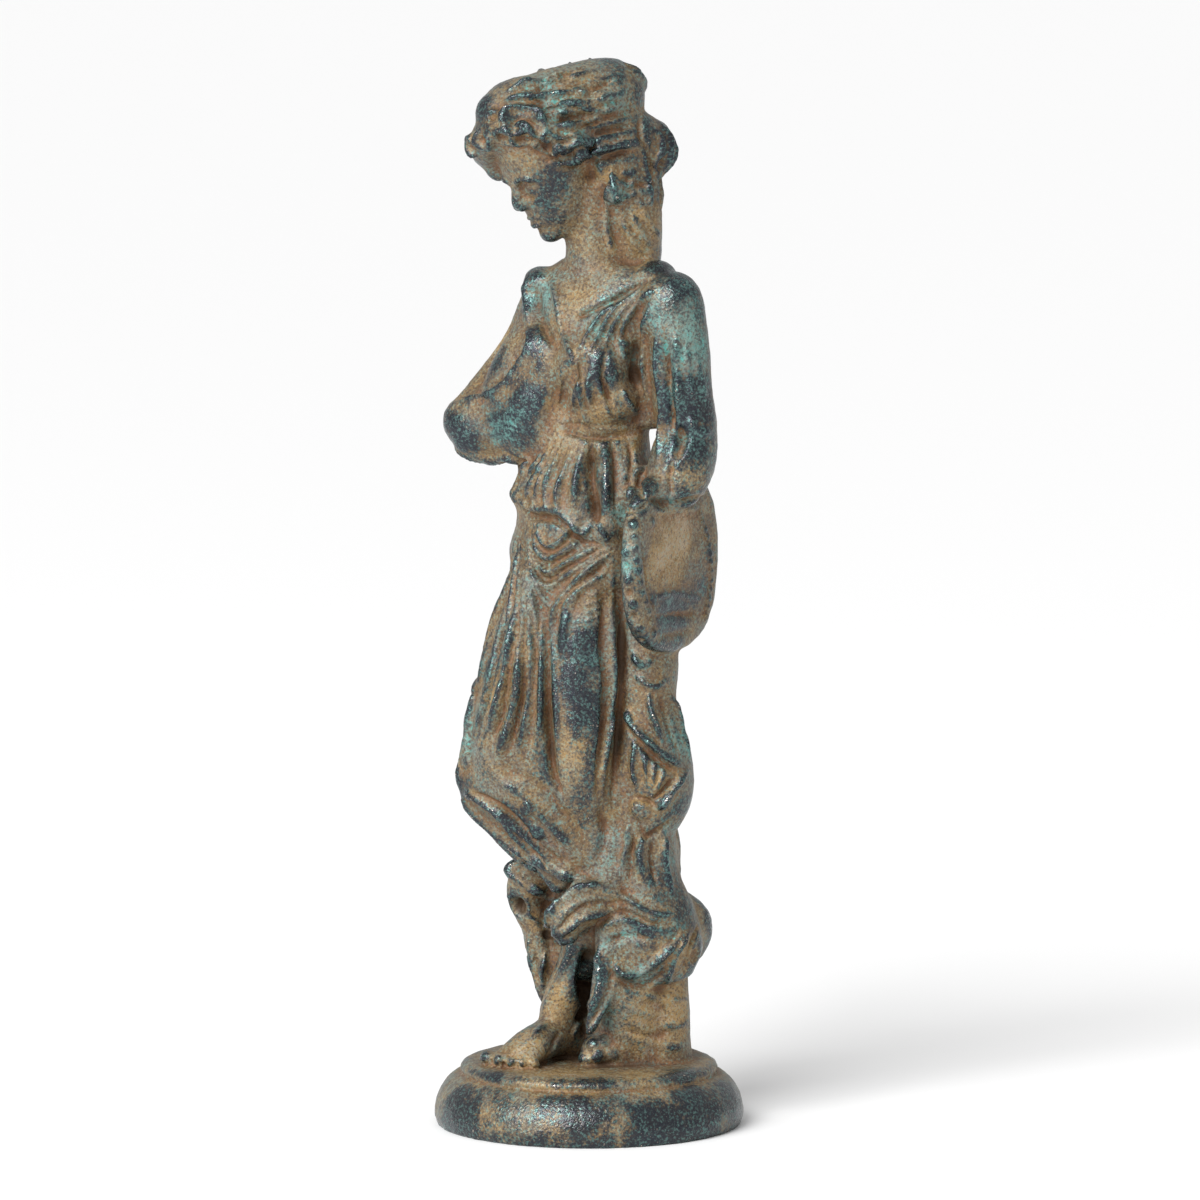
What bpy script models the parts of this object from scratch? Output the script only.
"""Cast bronze figurine of a draped woman with a tambourine, in one piece with its round plinth."""

import math

import bmesh
import bpy
import numpy as np
from mathutils import Matrix, Vector
from mathutils.bvhtree import BVHTree

# Driving sizes, in metres
FIGURE_HEIGHT = 0.100
PLINTH_RADIUS = 0.01545
PLINTH_HEIGHT = 0.0064
PLINTH_FOOT_HEIGHT = 0.0010
PLINTH_FOOT_INSET = 0.0003
STEP_RADIUS = 0.0129
STEP_HEIGHT = 0.0013
STEP_ROUND = 0.0013
GROOVE_DEPTH = 0.0005
DRUM_RADIUS = 0.0091
DRUM_THICKNESS = 0.0021
DRUM_SQUARENESS = 2.5

# Resolution of the solid
SCULPT_VOXEL = 0.00035
SOLID_TRIANGLES = 8300

# The pose is given as (across, towards, up), in hundredths of the figure's height, as seen from
# three-quarter left: across to the right, towards the eye, and up from the plinth's top.
HUNDREDTH = FIGURE_HEIGHT / 100
THREE_QUARTER_TURN = math.radians(40)
LATERAL = Vector((math.cos(THREE_QUARTER_TURN), math.sin(THREE_QUARTER_TURN), 0))
FRONTAL = Vector((-math.sin(THREE_QUARTER_TURN), math.cos(THREE_QUARTER_TURN), 0))
ACROSS = Vector((1, 0, 0))
HEAD_TURN = math.radians(62)
HEAD_BOW = math.radians(27)
HEAD_CENTRE = Vector((-2.9, 0, 90.4))
HEAD_SIDE = Vector((math.cos(HEAD_TURN), math.sin(HEAD_TURN), 0))
HEAD_LOOK = Vector((-math.sin(HEAD_TURN), math.cos(HEAD_TURN), 0))
HEAD_FORWARD = HEAD_LOOK * math.cos(HEAD_BOW) - Vector((0, 0, math.sin(HEAD_BOW)))
HEAD_UP = HEAD_LOOK * math.sin(HEAD_BOW) + Vector((0, 0, math.cos(HEAD_BOW)))
UPRIGHT = Vector((0, 0, 1))
SECTION_POINTS = 32
SPAN_STEPS = 8


def smooth_stations(stations):
    """Catmull-Rom points through the stations, each a row of numbers."""
    rows = np.array(stations, float)
    padded = np.vstack([2 * rows[0] - rows[1], rows, 2 * rows[-1] - rows[-2]])
    found = []
    for i in range(len(rows) - 1):
        a, b, c, d = padded[i : i + 4]
        for step in range(SPAN_STEPS):
            t = step / SPAN_STEPS
            found.append(
                0.5
                * (
                    2 * b
                    + (c - a) * t
                    + (2 * a - 5 * b + 4 * c - d) * t**2
                    + (3 * b - a - 3 * c + d) * t**3
                )
            )
    found.append(rows[-1])
    return np.array(found)


def sweep(form, stations, side, level=False):
    """Adds a closed form of oval sections (across, towards, up, wide, deep) along a path."""
    rows = smooth_stations(stations)
    centres = [Vector(row[:3]) for row in rows]
    rings = []
    for i, row in enumerate(rows):
        ahead = centres[min(i + 1, len(rows) - 1)] - centres[max(i - 1, 0)]
        ahead.normalize()
        if level:
            ahead = Vector((0, 0, math.copysign(1, ahead.z)))
        wide_axis = side - ahead * side.dot(ahead)
        wide_axis.normalize()
        deep_axis = ahead.cross(wide_axis)
        ring = []
        for k in range(SECTION_POINTS):
            angle = 2 * math.pi * k / SECTION_POINTS
            ring.append(
                form.verts.new(
                    centres[i]
                    + wide_axis * (row[3] * math.cos(angle))
                    + deep_axis * (row[4] * math.sin(angle))
                )
            )
        rings.append(ring)
    for low, high in zip(rings, rings[1:]):
        for k in range(SECTION_POINTS):
            n = (k + 1) % SECTION_POINTS
            form.faces.new((low[k], low[n], high[n], high[k]))
    form.faces.new(list(reversed(rings[0])))
    form.faces.new(rings[-1])


def ball(form, centre, radii, turn=0.0, tilt=0.0):
    """Adds an ellipsoid; turn is about the vertical, tilt leans it to the right as seen."""
    place = (
        Matrix.Translation(Vector(centre))
        @ Matrix.Rotation(math.radians(turn), 4, "Z")
        @ Matrix.Rotation(math.radians(tilt), 4, "Y")
        @ Matrix.Diagonal((*radii, 1))
    )
    bmesh.ops.create_uvsphere(form, u_segments=28, v_segments=16, radius=1, matrix=place)


def torso(form):
    sweep(
        form,
        [
            (-0.3, -0.3, 48, 8.0, 6.2),
            (-0.2, -0.3, 56, 7.4, 5.6),
            (0.6, -0.5, 62.4, 5.9, 4.6),
            (0.4, -0.4, 68, 6.5, 5.2),
            (0.6, -0.4, 73, 7.2, 5.0),
            (1.4, -0.4, 77, 7.8, 3.8),
            (1.8, -0.6, 79.4, 5.4, 2.6),
        ],
        LATERAL,
    )
    ball(form, (0.2, 3.2, 69.2), (4.2, 3.6, 4.4), 40)
    ball(form, (1.2, 2.8, 66.4), (4.2, 3.2, 3.2), 40)
    ball(form, (-3.8, 0.6, 69.4), (3.8, 3.0, 4.6), 40)
    ball(form, (-3.6, -4.4, 75.9), (2.9, 2.9, 3.0))
    ball(form, (-4.7, -3.2, 77.3), (1.9, 2.4, 1.8))
    ball(form, (8.1, 4.8, 75.9), (3.2, 3.2, 3.2))
    ball(form, (6.6, 2.6, 78.2), (2.2, 2.6, 1.9))
    sweep(
        form,
        [
            (5.6, 2.8, 75.6, 3.0, 2.6),
            (6.2, 2.8, 71.0, 2.6, 2.4),
            (6.2, 2.6, 66.0, 1.9, 2.0),
            (5.6, 2.2, 63.6, 1.2, 1.6),
        ],
        ACROSS,
    )
    sweep(
        form,
        [
            (1.6, -1.0, 76, 4.6, 3.8),
            (1.0, -0.8, 80, 3.4, 3.2),
            (0.5, -0.6, 84, 3.1, 3.1),
            (-0.2, -0.4, 88, 3.4, 3.4),
        ],
        LATERAL,
    )


def right_arm(form):
    sweep(
        form,
        [
            (-4.2, -5.0, 75.2, 2.7, 2.7),
            (-6.2, -6.4, 71.2, 2.4, 2.3),
            (-9.2, -6.3, 67.2, 2.3, 2.1),
            (-12.4, -5.0, 63.4, 2.2, 2.2),
        ],
        FRONTAL,
    )
    ball(form, (-12.4, -5.0, 63.4), (2.2, 2.3, 2.5))
    sweep(
        form,
        [
            (-13.9, -4.9, 63.3, 1.2, 1.0),
            (-13.1, -4.8, 63.3, 2.5, 1.9),
            (-11.2, -4.3, 63.1, 3.4, 2.6),
            (-8.6, -3.3, 63.7, 4.2, 2.8),
            (-6.2, -1.4, 64.8, 5.3, 3.2),
            (-3.4, 0.2, 66.4, 6.2, 3.6),
            (-1.0, 0.6, 67.4, 4.6, 2.6),
        ],
        UPRIGHT,
    )
    sweep(
        form,
        [
            (-4.4, -3.2, 77.0, 1.8, 2.0),
            (-5.0, -2.4, 73.0, 2.4, 2.8),
            (-6.2, -2.2, 69.0, 3.4, 3.4),
            (-7.4, -2.6, 65.6, 3.6, 3.4),
        ],
        ACROSS,
    )


def left_arm(form):
    sweep(
        form,
        [
            (8.2, 4.9, 75.6, 3.2, 3.2),
            (8.9, 5.2, 71.5, 3.0, 3.1),
            (9.2, 5.2, 67.0, 3.0, 3.0),
            (9.7, 4.9, 63.4, 3.0, 3.1),
            (9.2, 5.6, 60.4, 3.3, 3.3),
            (8.5, 6.5, 57.8, 2.9, 2.9),
        ],
        ACROSS,
    )
    ball(form, (8.3, 6.6, 57.8), (2.9, 2.8, 2.3))
    sweep(
        form,
        [
            (5.8, 3.2, 59.6, 1.2, 1.6),
            (6.2, 3.6, 57.4, 2.2, 2.4),
            (6.2, 3.6, 53.0, 2.2, 2.6),
            (6.0, 3.2, 46.0, 2.2, 2.4),
        ],
        ACROSS,
    )


def skirt(form):
    sweep(
        form,
        [
            (-0.4, -0.3, 58.0, 6.2, 5.6),
            (0.0, -0.3, 50.0, 6.8, 6.4),
            (-0.2, -0.3, 46.0, 7.4, 6.6),
            (-0.9, -0.3, 42.0, 8.3, 6.8),
            (-1.7, -0.3, 36.0, 9.6, 7.0),
            (-2.3, -0.3, 30.0, 10.1, 7.0),
            (-2.5, -0.3, 27.4, 10.3, 6.8),
            (-1.8, -0.2, 25.0, 9.6, 6.4),
            (0.6, 0.0, 21.4, 8.4, 5.8),
            (2.4, 0.2, 18.4, 6.6, 5.2),
            (3.8, 0.4, 15.4, 5.4, 4.8),
        ],
        ACROSS,
        level=True,
    )
    sweep(
        form,
        [
            (1.2, 1.4, 52.0, 4.2, 4.2),
            (-0.4, 3.0, 44.0, 3.9, 4.1),
            (-1.0, 3.8, 36.0, 3.4, 3.8),
            (-0.8, 4.0, 29.5, 3.2, 3.5),
            (-0.2, 3.0, 24.0, 2.8, 3.0),
            (0.0, 2.6, 19.0, 2.6, 2.6),
        ],
        ACROSS,
    )
    sweep(
        form,
        [
            (-3.2, 0.2, 51.0, 3.5, 4.2),
            (-4.4, 0.7, 47.0, 3.6, 4.3),
            (-5.7, 1.2, 43.0, 3.7, 4.3),
            (-7.4, 1.8, 36.0, 3.7, 4.1),
            (-8.4, 1.6, 30.0, 3.3, 3.9),
            (-8.4, 1.0, 27.2, 2.2, 2.8),
        ],
        ACROSS,
    )
    sweep(
        form,
        [
            (0.2, -0.4, 63.0, 6.2, 4.8),
            (-0.1, -0.4, 59.0, 7.0, 5.6),
            (-0.3, -0.4, 56.4, 7.6, 6.2),
            (-0.3, -0.4, 55.2, 7.6, 6.2),
            (-0.3, -0.4, 54.6, 7.0, 5.6),
        ],
        LATERAL,
        level=True,
    )
    for across, towards, hem in ((-1.0, 5.0, 53.6), (1.9, 5.6, 52.8), (4.4, 5.2, 53.4)):
        sweep(
            form,
            [
                (across * 0.9, towards - 0.8, 61.0, 0.9, 0.7),
                (across, towards, 57.0, 1.4, 1.1),
                (across, towards + 0.2, hem, 1.6, 1.2),
            ],
            ACROSS,
        )
    ball(form, (-6.5, -1.8, 51.2), (1.35, 2.4, 1.9))


def side_cascade(form):
    sweep(
        form,
        [
            (4.4, 1.6, 48.0, 3.4, 4.2),
            (5.6, 2.2, 41.0, 3.3, 4.0),
            (5.6, 2.4, 36.0, 3.1, 4.0),
            (6.2, 2.6, 31.4, 3.9, 4.2),
            (6.4, 2.6, 27.4, 4.0, 4.2),
            (5.8, 2.2, 24.2, 3.2, 3.8),
        ],
        ACROSS,
    )
    sweep(
        form,
        [
            (4.8, 1.6, 26.0, 3.8, 4.4),
            (5.0, 1.8, 21.5, 3.7, 4.2),
            (5.4, 2.0, 17.8, 3.9, 4.3),
            (6.0, 2.2, 14.6, 4.7, 4.8),
            (6.2, 2.0, 11.6, 5.2, 4.6),
            (6.4, 1.6, 8.6, 4.0, 3.8),
        ],
        ACROSS,
    )
    ball(form, (10.0, -0.8, 12.2), (2.5, 2.6, 2.7))


def lower_cloth(form):
    sweep(
        form,
        [
            (-3.5, 6.1, 13.2, 1.4, 1.3),
            (-2.2, 6.0, 15.0, 2.0, 1.8),
            (0.5, 5.2, 17.2, 2.1, 1.9),
            (3.2, 4.2, 19.4, 1.8, 1.8),
        ],
        UPRIGHT,
    )
    sweep(
        form,
        [
            (2.2, 4.8, 14.0, 1.7, 1.4),
            (2.0, 5.4, 10.6, 1.4, 1.1),
            (1.3, 5.9, 7.4, 1.1, 0.9),
            (0.2, 6.1, 4.2, 0.7, 0.7),
            (-0.2, 6.1, 3.2, 0.4, 0.5),
        ],
        ACROSS,
    )
    sweep(
        form,
        [
            (-3.4, -2.0, 20.0, 2.8, 2.2),
            (-5.8, -3.0, 17.4, 2.4, 1.7),
            (-6.3, -3.4, 15.2, 1.8, 1.5),
            (-5.2, -3.4, 12.6, 1.3, 1.2),
            (-4.8, -3.2, 9.6, 1.3, 1.1),
            (-4.2, -2.8, 6.6, 1.2, 1.0),
            (-3.6, -2.6, 4.4, 0.7, 0.7),
        ],
        ACROSS,
    )
    sweep(
        form,
        [
            (1.2, -2.2, 36.0, 4.6, 3.0),
            (1.8, -3.0, 26.0, 6.6, 4.0),
            (2.5, -3.6, 15.0, 6.6, 3.5),
            (2.8, -3.8, 5.0, 6.9, 3.5),
            (2.8, -3.8, -0.6, 7.3, 3.8),
        ],
        ACROSS,
        level=True,
    )
    sweep(
        form,
        [
            (3.2, 4.0, 17.0, 2.6, 2.2),
            (3.6, 3.9, 11.0, 3.0, 2.4),
            (3.8, 3.6, 7.0, 2.9, 2.4),
            (4.2, 2.6, 2.6, 2.9, 2.2),
            (4.8, 1.8, -0.4, 2.8, 2.2),
        ],
        ACROSS,
    )


def stump(form):
    sweep(
        form,
        [
            (6.9, 0.3, -0.6, 3.6, 3.8),
            (6.9, 0.3, 1.4, 3.3, 3.4),
            (6.8, 0.3, 5.0, 3.3, 3.4),
            (6.6, 0.4, 9.0, 3.2, 3.4),
        ],
        ACROSS,
    )


def legs_and_feet(form):
    sweep(
        form,
        [
            (0.4, 2.4, 25.0, 2.8, 2.8),
            (0.3, 1.8, 17.0, 2.1, 2.2),
            (-0.8, 1.0, 10.5, 1.9, 2.0),
            (-2.6, 0.2, 6.0, 2.0, 2.0),
            (-3.0, -0.2, 3.6, 1.9, 2.0),
            (-2.0, -1.2, 0.6, 1.7, 1.8),
        ],
        ACROSS,
    )
    sweep(
        form,
        [
            (-1.2, -1.8, 0.8, 1.7, 1.4),
            (-3.4, 0.4, 2.2, 1.9, 1.9),
            (-5.2, 2.2, 1.9, 2.3, 1.9),
            (-6.9, 3.9, 1.1, 2.7, 1.2),
            (-7.8, 4.7, 0.7, 2.6, 0.8),
        ],
        Vector((0.69, 0.72, 0)),
    )
    toe_line = [Vector((-10.1, 3.7, 0.7)), Vector((-5.6, 6.3, 0.5))]
    for k in range(5):
        share = k / 4
        centre = toe_line[0].lerp(toe_line[1], share)
        size = 1.0 - 0.3 * share
        centre += Vector((-0.5, 0.5, 0)) * math.sin(math.pi * share)
        ball(form, centre, (1.1 * size, 0.7 * size, 0.9 * size), 135)
    ball(form, (1.0, 3.4, 1.4), (1.9, 1.8, 1.8))
    ball(form, (0.2, 4.4, 0.7), (1.5, 1.1, 0.9))
    ball(form, (2.6, 2.6, 1.0), (2.2, 2.2, 2.6))


def drum_frame():
    """The tambourine's middle, and the direction its skin faces."""
    facing = Vector((0.883, 0.47, 0)).normalized()
    face_centre = Vector((8.9, 5.6, 50.6))
    return face_centre, facing


def drum(form):
    """The tambourine, a disc that is a little squared, as the casting left it."""
    face_centre, facing = drum_frame()
    thickness = DRUM_THICKNESS / HUNDREDTH
    radius = DRUM_RADIUS / HUNDREDTH
    along = UPRIGHT.cross(facing)
    rings = []
    for depth, share in ((thickness, 0.93), (thickness * 0.75, 1), (thickness * 0.25, 1), (0, 0.94)):
        ring = []
        for k in range(48):
            angle = 2 * math.pi * k / 48
            east = math.copysign(abs(math.cos(angle)) ** (2 / DRUM_SQUARENESS), math.cos(angle))
            north = math.copysign(abs(math.sin(angle)) ** (2 / DRUM_SQUARENESS), math.sin(angle))
            ring.append(
                form.verts.new(
                    face_centre - facing * depth + (along * east + UPRIGHT * north) * radius * share
                )
            )
        rings.append(ring)
    for back, front in zip(rings, rings[1:]):
        for k in range(48):
            form.faces.new((back[k], back[(k + 1) % 48], front[(k + 1) % 48], front[k]))
    form.faces.new(list(reversed(rings[0])))
    form.faces.new(rings[-1])


def in_head(forward, side, up):
    """A place in the bowed and turned head's own frame; side is positive on her left."""
    return HEAD_CENTRE + HEAD_FORWARD * forward + HEAD_SIDE * side + HEAD_UP * up


def head_rows(rows):
    return [(*in_head(*row[:3]), *row[3:]) for row in rows]


def head(form):
    for middle, radii in (
        ((-0.6, 0, 1.6), (6.1, 5.1, 5.6)),
        ((0.6, 0, 3.6), (5.4, 4.4, 3.4)),
        ((4.8, -4.0, 0.9), (1.5, 1.2, 1.6)),
        ((4.3, 0, -6.5), (1.3, 1.4, 1.1)),
    ):
        mass = Matrix((HEAD_FORWARD * radii[0], HEAD_SIDE * radii[1], HEAD_UP * radii[2]))
        mass = mass.transposed().to_4x4()
        mass.translation = in_head(*middle)
        bmesh.ops.create_uvsphere(form, u_segments=28, v_segments=16, radius=1, matrix=mass)
    sweep(
        form,
        head_rows(
            [
                (1.6, 0, 3.2, 4.0, 4.1),
                (1.6, 0, 0.8, 4.4, 4.5),
                (1.8, 0, -1.4, 4.3, 4.2),
                (2.0, 0, -3.6, 3.8, 3.9),
                (2.6, 0, -5.8, 2.9, 3.1),
                (3.3, 0, -7.4, 1.7, 2.0),
            ]
        ),
        HEAD_SIDE,
    )
    sweep(
        form,
        head_rows([(5.6, 0, 0.6, 0.8, 0.7), (6.2, 0, -1.2, 0.8, 0.7), (6.6, 0, -2.7, 1.05, 0.85)]),
        HEAD_SIDE,
    )
    sweep(
        form,
        head_rows([(5.0, -1.5, -4.8, 0.5, 0.5), (5.7, 0, -4.7, 0.8, 0.7), (5.0, 1.5, -4.8, 0.5, 0.5)]),
        HEAD_UP,
    )
    sweep(
        form,
        head_rows(
            [
                (0.4, -5.0, -1.6, 1.1, 1.1),
                (2.8, -4.9, 0.6, 1.5, 1.5),
                (5.0, -3.9, 2.7, 1.8, 1.8),
                (5.9, -1.7, 4.5, 1.7, 1.7),
                (5.6, 0.7, 5.5, 1.6, 1.6),
                (4.4, 2.7, 5.3, 1.6, 1.5),
                (2.8, 4.1, 4.3, 1.5, 1.4),
                (1.0, 4.9, 2.8, 1.5, 1.3),
                (-0.8, 5.1, 0.8, 1.4, 1.2),
            ]
        ),
        HEAD_UP,
    )
    sweep(
        form,
        [
            (-9.5, 2.6, 94.2, 2.4, 2.0),
            (-7.4, 1.8, 94.9, 4.2, 2.9),
            (-4.4, 0.6, 94.9, 5.2, 3.6),
            (-1.2, -0.4, 95.3, 5.2, 4.0),
            (1.8, -0.8, 95.8, 4.6, 4.0),
            (3.2, -1.0, 95.7, 3.8, 3.6),
            (4.6, -1.0, 95.6, 2.2, 2.4),
        ],
        HEAD_SIDE,
    )
    sweep(
        form,
        [
            (-0.4, 1.6, 90.6, 4.0, 3.2),
            (2.6, 0.4, 91.4, 4.0, 3.2),
            (5.2, -1.0, 91.4, 3.0, 2.7),
            (6.7, -1.6, 91.0, 2.0, 2.2),
        ],
        UPRIGHT,
    )
    ball(form, (-9.0, 2.6, 94.5), (2.2, 2.4, 2.1))
    ball(form, (2.4, -1.0, 95.9), (3.2, 3.6, 3.5))
    ball(form, (6.2, -1.6, 91.0), (2.3, 2.8, 2.8))
    sweep(
        form,
        [
            (2.6, -0.4, 90.0, 3.8, 3.8),
            (3.5, -0.7, 86.5, 3.6, 3.6),
            (4.1, -1.0, 83.0, 3.2, 3.3),
            (4.4, -1.0, 79.0, 2.8, 2.8),
        ],
        ACROSS,
    )
    ball(form, (2.5, 3.5, 87.0), (1.2, 1.3, 2.0))


def to_metres(form):
    """From hundredths seen at three-quarter left to metres in the statue's own frame."""
    back_turn = Matrix(
        (
            (LATERAL.x, LATERAL.y, 0),
            (LATERAL.y, -LATERAL.x, 0),
            (0, 0, 1),
        )
    ).to_4x4()
    place = Matrix.Translation((0, 0, PLINTH_HEIGHT)) @ Matrix.Scale(HUNDREDTH, 4) @ back_turn
    bmesh.ops.transform(form, matrix=place, verts=form.verts)
    bmesh.ops.recalc_face_normals(form, faces=form.faces)


def mesh_object(form, name):
    mesh = bpy.data.meshes.new(name)
    form.to_mesh(mesh)
    form.free()
    made = bpy.data.objects.new(name, mesh)
    bpy.context.scene.collection.objects.link(made)
    return made


def applied(obj):
    """Applies the object's modifiers to its mesh."""
    graph = bpy.context.evaluated_depsgraph_get()
    mesh = bpy.data.meshes.new_from_object(obj.evaluated_get(graph))
    obj.modifiers.clear()
    obj.data = mesh
    return obj


def fused_figure():
    form = bmesh.new()
    for build in (
        torso, right_arm, left_arm, skirt, side_cascade, lower_cloth, stump, legs_and_feet, drum, head,
    ):
        build(form)
    to_metres(form)
    figure = mesh_object(form, "figure")
    fuse = figure.modifiers.new("fuse", "REMESH")
    fuse.mode = "VOXEL"
    fuse.voxel_size = SCULPT_VOXEL
    melt = figure.modifiers.new("melt", "SMOOTH")
    melt.factor = 0.5
    melt.iterations = 12
    return applied(figure)


def carved_figure():
    figure = fused_figure()
    clay = Clay(figure)
    for carve in (
        carve_dress, carve_skirt, carve_falling_cloth, carve_arm_and_drum, carve_hair, carve_back,
    ):
        carve(clay)
    clay.settle()
    return figure


def plinth():
    """The turned plinth, from its axis out and down."""
    wall = PLINTH_HEIGHT - STEP_HEIGHT
    profile = [(0, PLINTH_HEIGHT)]
    for k in range(4):
        angle = math.pi / 2 * k / 3
        profile.append(
            (
                STEP_RADIUS - STEP_ROUND + STEP_ROUND * math.sin(angle),
                PLINTH_HEIGHT - 0.7 * STEP_HEIGHT * (1 - math.cos(angle)),
            )
        )
    profile.append((STEP_RADIUS - GROOVE_DEPTH, wall + 0.1 * STEP_HEIGHT))
    profile.append((STEP_RADIUS, wall))
    for k in range(1, 7):
        angle = math.pi / 2 * k / 6
        profile.append(
            (
                STEP_RADIUS + (PLINTH_RADIUS - STEP_RADIUS) * math.sin(angle) ** 1.25,
                PLINTH_FOOT_HEIGHT + (wall - PLINTH_FOOT_HEIGHT) * math.cos(angle),
            )
        )
    profile.append((PLINTH_RADIUS - PLINTH_FOOT_INSET, 0))
    profile.append((0, 0))
    mesh = bpy.data.meshes.new("plinth")
    mesh.from_pydata([(r, 0, z) for r, z in profile], [(i, i + 1) for i in range(len(profile) - 1)], [])
    made = bpy.data.objects.new("plinth", mesh)
    bpy.context.scene.collection.objects.link(made)
    turn = made.modifiers.new("turn", "SCREW")
    turn.steps = 48
    turn.render_steps = 48
    turn.use_merge_vertices = True
    turn.merge_threshold = 0.00001
    return applied(made)


class Clay:
    """The fused figure while it is carved: its vertices, and the surface that strokes are laid on."""

    def __init__(self, obj):
        self.mesh = obj.data
        self.points = np.empty(len(self.mesh.vertices) * 3)
        self.mesh.vertices.foreach_get("co", self.points)
        self.points = self.points.reshape(-1, 3)
        self.settle()

    def settle(self):
        """Stores the carved points and reads their normals and surface again."""
        self.mesh.vertices.foreach_set("co", self.points.ravel())
        self.mesh.update()
        self.normals = np.empty(len(self.points) * 3)
        self.mesh.vertices.foreach_get("normal", self.normals)
        self.normals = self.normals.reshape(-1, 3)
        faces = [tuple(face.vertices) for face in self.mesh.polygons]
        self.surface = BVHTree.FromPolygons([Vector(p) for p in self.points], faces)

    def laid(self, path, azimuth):
        """The path of (across, up) rows, seen from the azimuth, laid on the surface."""
        angle = math.radians(azimuth)
        right = Vector((math.cos(angle), math.sin(angle), 0))
        eye = Vector((math.sin(angle), -math.cos(angle), 0))
        found = []
        for across, up in smooth_stations(path):
            start = right * across * HUNDREDTH + eye * 0.1
            start.z = PLINTH_HEIGHT + up * HUNDREDTH
            hit = self.surface.ray_cast(start, -eye)[0]
            if hit is not None:
                found.append(hit)
        return np.array(found)

    def stroke(self, path, width, height, azimuth=40, crisp=1.0):
        """Raises a ridge, or sinks a groove where height is negative, along the path."""
        line = self.laid(path, azimuth)
        if len(line) < 2:
            return
        reach = width * HUNDREDTH
        low = line.min(0) - reach
        high = line.max(0) + reach
        near = np.nonzero(((self.points > low) & (self.points < high)).all(1))[0]
        here = self.points[near]
        start = line[:-1]
        span = line[1:] - start
        length = np.maximum((span**2).sum(1), 1e-14)
        share = np.clip((((here[:, None] - start) * span).sum(2)) / length, 0, 1)
        gap = here[:, None] - (start + share[:, :, None] * span)
        squared = (gap**2).sum(2)
        nearest = squared.argmin(1)
        distance = np.sqrt(squared[np.arange(len(near)), nearest])
        along = (nearest + share[np.arange(len(near)), nearest]) / len(span)
        fade = np.clip(np.minimum(along, 1 - along) * 6 + 0.25, 0, 1)
        rise = np.clip(1 - distance / reach, 0, 1) ** crisp
        rise = rise * rise * (3 - 2 * rise) * fade
        self.points[near] += self.normals[near] * (rise * height * HUNDREDTH)[:, None]

    def fan(self, first, last, count, width, height, azimuth=40, crisp=1.0):
        """Strokes spread evenly from the first path to the last."""
        first = np.array(first, float)
        last = np.array(last, float)
        for k in range(count):
            share = k / max(count - 1, 1)
            self.stroke(first + (last - first) * share, width, height, azimuth, crisp)
        self.settle()


def carve_dress(clay):
    clay.stroke([(-6.0, 78.6), (-6.2, 72.6), (-4.4, 71.4), (-1.6, 70.6)], 0.9, 0.45)
    clay.fan([(6.6, 79.4), (3.0, 74.2), (-1.4, 70.4)], [(7.6, 78.0), (5.2, 72.5), (3.4, 68.0)], 4, 0.75, 0.45)
    clay.stroke([(0.0, 71.6), (-2.6, 66.0), (-4.6, 61.4)], 1.4, -0.7)
    clay.stroke([(-0.8, 64.2), (1.4, 63.4), (6.2, 63.7)], 0.8, 0.5)
    clay.stroke([(-6.0, 78.2), (-6.0, 72.8), (-8.2, 70.0), (-11.0, 67.6), (-13.4, 65.8)], 1.3, 0.9)
    clay.fan([(1.2, 70.6), (0.6, 67.0), (1.4, 64.6)], [(4.6, 69.4), (4.8, 66.6), (5.0, 64.8)], 3, 0.8, 0.4)
    clay.stroke([(0.2, 62.6), (0.3, 58.0), (0.2, 53.8)], 0.8, -0.9)
    clay.fan([(-3.0, 62.0), (-5.4, 59.4), (-7.6, 55.6)], [(1.9, 62.0), (2.0, 58.0), (2.2, 53.6)], 5, 0.8, 0.45)
    clay.fan([(-6.4, 55.0), (-4.2, 52.2), (0.2, 53.6)], [(-6.8, 50.8), (-3.6, 46.0), (1.8, 52.0)], 4, 0.75, 0.5)


def carve_skirt(clay):
    clay.stroke([(2.2, 52.0), (-3.0, 45.4), (-4.2, 38.0), (-4.0, 22.0)], 1.3, -0.8)
    clay.stroke([(2.4, 51.0), (2.9, 40.0), (2.6, 30.0), (2.6, 20.6)], 1.2, -0.9)
    clay.fan([(-6.2, 52.4), (-9.8, 42.6), (-12.0, 30.4)], [(-4.9, 48.0), (-6.0, 38.0), (-6.6, 27.0)], 4, 1.0, 0.55)
    clay.fan([(-12.8, 27.6), (-8.2, 22.8), (-3.0, 17.6)], [(-11.4, 27.8), (-6.8, 23.2), (-1.8, 18.2)], 2, 1.1, 0.6)
    clay.fan([(-2.6, 25.4), (-0.6, 20.4), (1.8, 18.6)], [(2.0, 27.0), (2.4, 22.4), (3.2, 18.8)], 3, 0.8, 0.4)


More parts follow.
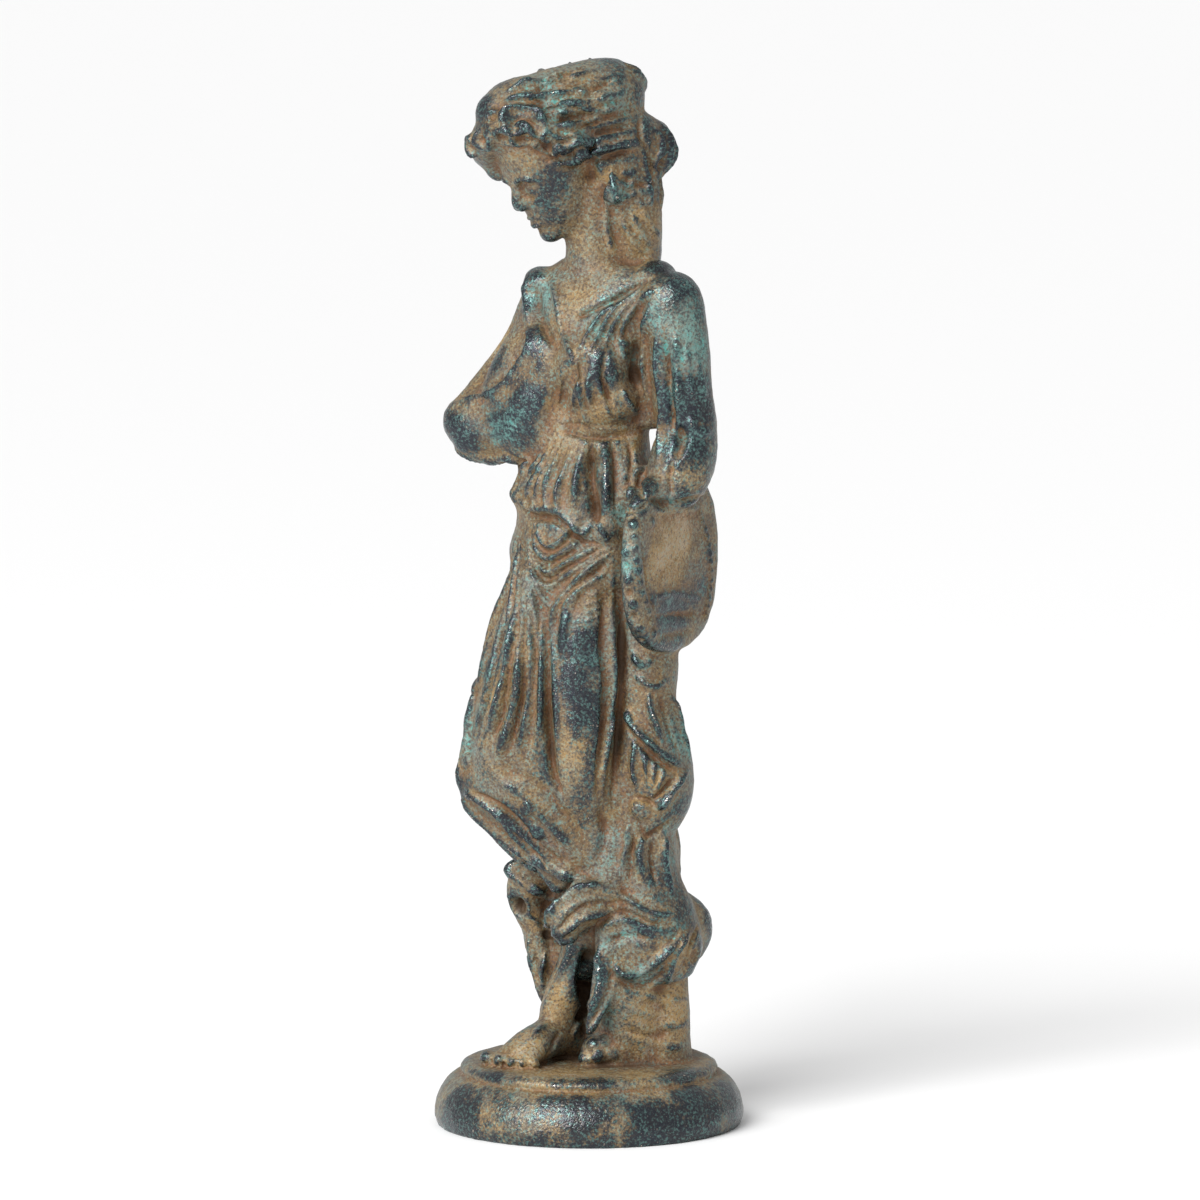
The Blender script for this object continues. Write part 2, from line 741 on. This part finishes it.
def carve_falling_cloth(clay):
    clay.fan([(3.8, 34.6), (5.8, 32.6), (8.4, 30.4)], [(4.2, 31.0), (5.4, 28.6), (8.6, 27.0)], 3, 0.9, 0.5)
    clay.fan([(3.6, 46.0), (4.4, 40.0), (3.8, 34.8)], [(8.0, 40.0), (7.8, 37.0), (8.6, 33.0)], 3, 0.9, 0.5)
    clay.fan([(3.9, 25.6), (4.0, 20.8), (4.2, 16.8)], [(7.8, 25.0), (7.6, 20.6), (8.2, 16.6)], 3, 0.8, 0.45)
    clay.fan([(2.4, 16.8), (5.8, 16.0), (9.6, 14.6)], [(2.8, 11.8), (6.4, 9.6), (10.6, 11.2)], 4, 0.95, 0.4)
    clay.fan([(-3.2, 15.8), (-1.2, 17.6), (2.4, 18.2)], [(-2.4, 13.6), (-0.4, 15.0), (2.4, 15.4)], 2, 0.8, 0.4)
    clay.fan([(4.2, 8.2), (6.8, 8.0), (9.6, 8.0)], [(4.0, 1.6), (6.8, 1.4), (9.8, 1.6)], 4, 0.7, 0.35)


def carve_arm_and_drum(clay):
    clay.fan([(7.0, 76.2), (7.2, 71.0), (8.0, 64.6)], [(8.6, 76.0), (8.4, 71.0), (8.8, 65.4)], 2, 0.8, 0.4)
    clay.stroke([(7.4, 64.0), (9.6, 63.2), (12.2, 63.8)], 0.8, -0.4)


def carve_hair(clay):
    clay.fan([(-8.8, 96.2), (-3.0, 98.4), (2.6, 99.0)], [(-5.0, 90.4), (0.6, 90.6), (5.2, 91.6)], 5, 0.8, -0.5)
    clay.fan([(3.0, 88.0), (3.6, 84.6), (4.0, 80.6)], [(6.0, 88.6), (6.4, 84.6), (6.2, 81.0)], 2, 0.7, -0.4)


def carve_back(clay):
    for azimuth in (180, 230, 285):
        clay.fan(
            [(-4.6, 61.0), (-4.8, 58.0), (-5.4, 55.4)], [(4.6, 61.0), (4.8, 58.0), (5.4, 55.4)],
            4, 0.9, 0.45, azimuth,
        )
        clay.fan(
            [(-4.6, 53.0), (-5.6, 32.0), (-5.0, 4.0)], [(4.6, 53.0), (5.6, 32.0), (5.0, 4.0)],
            4, 1.2, 0.6, azimuth,
        )
    clay.fan([(-6.0, 76.0), (0.0, 71.0), (5.6, 66.0)], [(-6.0, 68.0), (-1.0, 65.0), (3.6, 62.6)], 3, 1.0, 0.45, 190)


def bronze():
    material = bpy.data.materials.new("patinated_bronze")
    material.use_nodes = True
    shader = material.node_tree.nodes["Principled BSDF"]
    shader.inputs["Base Color"].default_value = (0.16, 0.15, 0.10, 1)
    shader.inputs["Metallic"].default_value = 0.6
    shader.inputs["Roughness"].default_value = 0.5
    return material


def main():
    for old in list(bpy.data.objects):
        bpy.data.objects.remove(old, do_unlink=True)
    statue = carved_figure()
    statue.name = "bronze_statue"
    thin = statue.modifiers.new("thin", "DECIMATE")
    thin.ratio = SOLID_TRIANGLES / (2 * len(statue.data.polygons))
    applied(statue)
    base = plinth()
    base.hide_render = True
    base.display_type = "WIRE"
    join = statue.modifiers.new("join", "BOOLEAN")
    join.operation = "UNION"
    join.object = base
    statue.data.materials.append(bronze())
    statue.data.shade_smooth()


if __name__ == "__main__":
    main()
